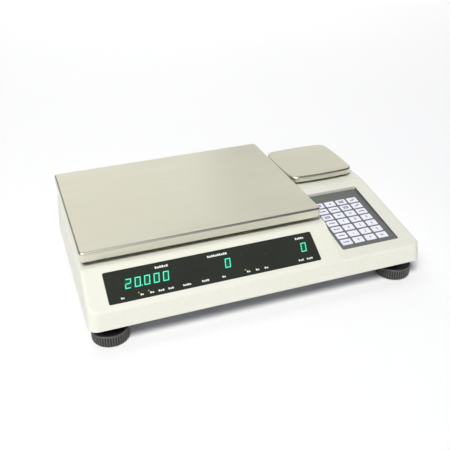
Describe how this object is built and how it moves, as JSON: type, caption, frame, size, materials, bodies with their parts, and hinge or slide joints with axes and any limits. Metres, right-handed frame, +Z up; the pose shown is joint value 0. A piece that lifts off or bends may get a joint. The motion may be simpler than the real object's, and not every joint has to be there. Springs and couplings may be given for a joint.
{
  "type": "counting scale",
  "caption": "Bench counting scale: large steel platter, small sample platter, sloped display and keypad in a moulded housing on levelling feet.",
  "frame": {"origin": "on the floor under the middle of the scale's outline", "axes": "+X to the user's right, +Y to the back, +Z up; the display and keypad face -Y"},
  "size_m": [0.48, 0.314, 0.11],
  "materials": {
    "housing": "fine moulded texture, warm off-white",
    "platter_steel": "brushed stainless sheet",
    "zinc_sheet": "zinc-plated sheet",
    "cast_alloy": "die cast",
    "cell_alloy": "machined",
    "rubber_black": "matt",
    "fastener_steel": "plated",
    "window_smoked": "smoked acrylic",
    "board_green": "circuit board",
    "tube_glass": "sealed glass",
    "overlay_grey": "satin film",
    "key_white": "satin",
    "core_steel": "varnished laminations",
    "black_plastic": "moulded",
    "rocker_black": "satin moulded",
    "vial_clear": "clear with tinted fluid",
    "foot_black": "ribbed moulding",
    "display_light": "lit segments",
    "caption_print": "printed marks",
    "key_legend": "printed symbols",
    "marker_green": "printed band"
  },
  "bodies": {
    "root": {"top_cover": "housing", "base_pan": "zinc_sheet", "main_carrier": "cast_alloy", "small_carrier": "cast_alloy", "platter_cushions": "rubber_black", "main_load_cell": "cell_alloy", "small_load_cell": "cell_alloy", "cell_spacers": "cell_alloy", "load_cell_bolts": "fastener_steel", "overload_stops": "fastener_steel", "display_window": "window_smoked", "display_board": "board_green", "display_tubes": "tube_glass", "keypad_overlay": "overlay_grey", "keypad_board": "board_green", "main_board": "board_green", "transformer": "core_steel", "power_inlet": "black_plastic", "switch_body": "black_plastic", "cover_screws": "fastener_steel", "level_vial": "vial_clear"},
    "main_platter": {"main_platter": "platter_steel"},
    "small_platter": {"small_platter": "platter_steel"},
    "power_rocker": {"power_rocker": "rocker_black"},
    "foot_pad_front_left": {"foot_pad_front_left": "rubber_black"},
    "foot_knob_front_left": {"foot_knob_front_left": "foot_black"},
    "foot_pad_front_right": {"foot_pad_front_right": "rubber_black"},
    "foot_knob_front_right": {"foot_knob_front_right": "foot_black"},
    "foot_pad_rear_left": {"foot_pad_rear_left": "rubber_black"},
    "foot_knob_rear_left": {"foot_knob_rear_left": "foot_black"},
    "foot_pad_rear_right": {"foot_pad_rear_right": "rubber_black"},
    "foot_knob_rear_right": {"foot_knob_rear_right": "foot_black"},
    "key_r1c1": {"key_r1c1": "key_white"},
    "key_r1c2": {"key_r1c2": "key_white"},
    "key_r1c3": {"key_r1c3": "key_white"},
    "key_r1c4": {"key_r1c4": "key_white"},
    "key_r2c1": {"key_r2c1": "key_white"},
    "key_r2c2": {"key_r2c2": "key_white"},
    "key_r2c3": {"key_r2c3": "key_white"},
    "key_r2c4": {"key_r2c4": "key_white"},
    "key_r3c1": {"key_r3c1": "key_white"},
    "key_r3c2": {"key_r3c2": "key_white"},
    "key_r3c3": {"key_r3c3": "key_white"},
    "key_r3c4": {"key_r3c4": "key_white"},
    "key_r4c1": {"key_r4c1": "key_white"},
    "key_r4c2": {"key_r4c2": "key_white"},
    "key_r4c3": {"key_r4c3": "key_white"},
    "key_r4c4": {"key_r4c4": "key_white"},
    "key_r5c1": {"key_r5c1": "key_white"},
    "key_r5c2": {"key_r5c2": "key_white"},
    "key_r5c3": {"key_r5c3": "key_white"},
    "key_r5c4": {"key_r5c4": "key_white"},
    "key_r6c1": {"key_r6c1": "key_white"},
    "key_r6c2": {"key_r6c2": "key_white"},
    "key_r6c3": {"key_r6c3": "key_white"},
    "key_r6c4": {"key_r6c4": "key_white"},
    "key_r7c1": {"key_r7c1": "key_white"},
    "key_r7c2": {"key_r7c2": "key_white"},
    "key_r7c3": {"key_r7c3": "key_white"},
    "key_r7c4": {"key_r7c4": "key_white"}
  },
  "joints": [
    {"name": "foot_turn_front_left", "type": "hinge", "parent": "foot_pad_front_left", "child": "foot_knob_front_left", "pos_m": [-0.211, -0.1315, 0.01], "axis": [0, 0, -1], "range_deg": [0, 2160]},
    {"name": "foot_lift_front_left", "type": "slide", "parent": "root", "child": "foot_pad_front_left", "axis": [0, 0, -1], "range_m": [0, 0.009]},
    {"name": "foot_turn_front_right", "type": "hinge", "parent": "foot_pad_front_right", "child": "foot_knob_front_right", "pos_m": [0.211, -0.1315, 0.01], "axis": [0, 0, -1], "range_deg": [0, 2160]},
    {"name": "foot_lift_front_right", "type": "slide", "parent": "root", "child": "foot_pad_front_right", "axis": [0, 0, -1], "range_m": [0, 0.009]},
    {"name": "foot_turn_rear_left", "type": "hinge", "parent": "foot_pad_rear_left", "child": "foot_knob_rear_left", "pos_m": [-0.211, 0.109, 0.01], "axis": [0, 0, -1], "range_deg": [0, 2160]},
    {"name": "foot_lift_rear_left", "type": "slide", "parent": "root", "child": "foot_pad_rear_left", "axis": [0, 0, -1], "range_m": [0, 0.009]},
    {"name": "foot_turn_rear_right", "type": "hinge", "parent": "foot_pad_rear_right", "child": "foot_knob_rear_right", "pos_m": [0.211, 0.109, 0.01], "axis": [0, 0, -1], "range_deg": [0, 2160]},
    {"name": "foot_lift_rear_right", "type": "slide", "parent": "root", "child": "foot_pad_rear_right", "axis": [0, 0, -1], "range_m": [0, 0.009]},
    {"name": "main_platter_lift", "type": "slide", "parent": "root", "child": "main_platter", "axis": [0, 0, 1], "range_m": [0, 0.06]},
    {"name": "small_platter_lift", "type": "slide", "parent": "root", "child": "small_platter", "axis": [0, 0, 1], "range_m": [0, 0.05]},
    {"name": "power_rocker_tilt", "type": "hinge", "parent": "root", "child": "power_rocker", "pos_m": [-0.084, 0.13718, 0.05985], "axis": [-1, 0, 0], "range_deg": [0, 16]},
    {"name": "press_r1c1", "type": "slide", "parent": "root", "child": "key_r1c1", "axis": [0, 0.1392, -0.9903], "range_m": [0, 0.0005], "stiffness_N_per_m": 1500},
    {"name": "press_r1c2", "type": "slide", "parent": "root", "child": "key_r1c2", "axis": [0, 0.1392, -0.9903], "range_m": [0, 0.0005], "stiffness_N_per_m": 1500},
    {"name": "press_r1c3", "type": "slide", "parent": "root", "child": "key_r1c3", "axis": [0, 0.1392, -0.9903], "range_m": [0, 0.0005], "stiffness_N_per_m": 1500},
    {"name": "press_r1c4", "type": "slide", "parent": "root", "child": "key_r1c4", "axis": [0, 0.1392, -0.9903], "range_m": [0, 0.0005], "stiffness_N_per_m": 1500},
    {"name": "press_r2c1", "type": "slide", "parent": "root", "child": "key_r2c1", "axis": [0, 0.1392, -0.9903], "range_m": [0, 0.0005], "stiffness_N_per_m": 1500},
    {"name": "press_r2c2", "type": "slide", "parent": "root", "child": "key_r2c2", "axis": [0, 0.1392, -0.9903], "range_m": [0, 0.0005], "stiffness_N_per_m": 1500},
    {"name": "press_r2c3", "type": "slide", "parent": "root", "child": "key_r2c3", "axis": [0, 0.1392, -0.9903], "range_m": [0, 0.0005], "stiffness_N_per_m": 1500},
    {"name": "press_r2c4", "type": "slide", "parent": "root", "child": "key_r2c4", "axis": [0, 0.1392, -0.9903], "range_m": [0, 0.0005], "stiffness_N_per_m": 1500},
    {"name": "press_r3c1", "type": "slide", "parent": "root", "child": "key_r3c1", "axis": [0, 0.1392, -0.9903], "range_m": [0, 0.0005], "stiffness_N_per_m": 1500},
    {"name": "press_r3c2", "type": "slide", "parent": "root", "child": "key_r3c2", "axis": [0, 0.1392, -0.9903], "range_m": [0, 0.0005], "stiffness_N_per_m": 1500},
    {"name": "press_r3c3", "type": "slide", "parent": "root", "child": "key_r3c3", "axis": [0, 0.1392, -0.9903], "range_m": [0, 0.0005], "stiffness_N_per_m": 1500},
    {"name": "press_r3c4", "type": "slide", "parent": "root", "child": "key_r3c4", "axis": [0, 0.1392, -0.9903], "range_m": [0, 0.0005], "stiffness_N_per_m": 1500},
    {"name": "press_r4c1", "type": "slide", "parent": "root", "child": "key_r4c1", "axis": [0, 0.1392, -0.9903], "range_m": [0, 0.0005], "stiffness_N_per_m": 1500},
    {"name": "press_r4c2", "type": "slide", "parent": "root", "child": "key_r4c2", "axis": [0, 0.1392, -0.9903], "range_m": [0, 0.0005], "stiffness_N_per_m": 1500},
    {"name": "press_r4c3", "type": "slide", "parent": "root", "child": "key_r4c3", "axis": [0, 0.1392, -0.9903], "range_m": [0, 0.0005], "stiffness_N_per_m": 1500},
    {"name": "press_r4c4", "type": "slide", "parent": "root", "child": "key_r4c4", "axis": [0, 0.1392, -0.9903], "range_m": [0, 0.0005], "stiffness_N_per_m": 1500},
    {"name": "press_r5c1", "type": "slide", "parent": "root", "child": "key_r5c1", "axis": [0, 0.1392, -0.9903], "range_m": [0, 0.0005], "stiffness_N_per_m": 1500},
    {"name": "press_r5c2", "type": "slide", "parent": "root", "child": "key_r5c2", "axis": [0, 0.1392, -0.9903], "range_m": [0, 0.0005], "stiffness_N_per_m": 1500},
    {"name": "press_r5c3", "type": "slide", "parent": "root", "child": "key_r5c3", "axis": [0, 0.1392, -0.9903], "range_m": [0, 0.0005], "stiffness_N_per_m": 1500},
    {"name": "press_r5c4", "type": "slide", "parent": "root", "child": "key_r5c4", "axis": [0, 0.1392, -0.9903], "range_m": [0, 0.0005], "stiffness_N_per_m": 1500},
    {"name": "press_r6c1", "type": "slide", "parent": "root", "child": "key_r6c1", "axis": [0, 0.1392, -0.9903], "range_m": [0, 0.0005], "stiffness_N_per_m": 1500},
    {"name": "press_r6c2", "type": "slide", "parent": "root", "child": "key_r6c2", "axis": [0, 0.1392, -0.9903], "range_m": [0, 0.0005], "stiffness_N_per_m": 1500},
    {"name": "press_r6c3", "type": "slide", "parent": "root", "child": "key_r6c3", "axis": [0, 0.1392, -0.9903], "range_m": [0, 0.0005], "stiffness_N_per_m": 1500},
    {"name": "press_r6c4", "type": "slide", "parent": "root", "child": "key_r6c4", "axis": [0, 0.1392, -0.9903], "range_m": [0, 0.0005], "stiffness_N_per_m": 1500},
    {"name": "press_r7c1", "type": "slide", "parent": "root", "child": "key_r7c1", "axis": [0, 0.1392, -0.9903], "range_m": [0, 0.0005], "stiffness_N_per_m": 1500},
    {"name": "press_r7c2", "type": "slide", "parent": "root", "child": "key_r7c2", "axis": [0, 0.1392, -0.9903], "range_m": [0, 0.0005], "stiffness_N_per_m": 1500},
    {"name": "press_r7c3", "type": "slide", "parent": "root", "child": "key_r7c3", "axis": [0, 0.1392, -0.9903], "range_m": [0, 0.0005], "stiffness_N_per_m": 1500},
    {"name": "press_r7c4", "type": "slide", "parent": "root", "child": "key_r7c4", "axis": [0, 0.1392, -0.9903], "range_m": [0, 0.0005], "stiffness_N_per_m": 1500}
  ],
  "couplings": [
    {"joint": "foot_lift_front_left", "follows": "foot_turn_front_left", "m_per_rad": 0.0002387},
    {"joint": "foot_lift_front_right", "follows": "foot_turn_front_right", "m_per_rad": 0.0002387},
    {"joint": "foot_lift_rear_left", "follows": "foot_turn_rear_left", "m_per_rad": 0.0002387},
    {"joint": "foot_lift_rear_right", "follows": "foot_turn_rear_right", "m_per_rad": 0.0002387}
  ]
}
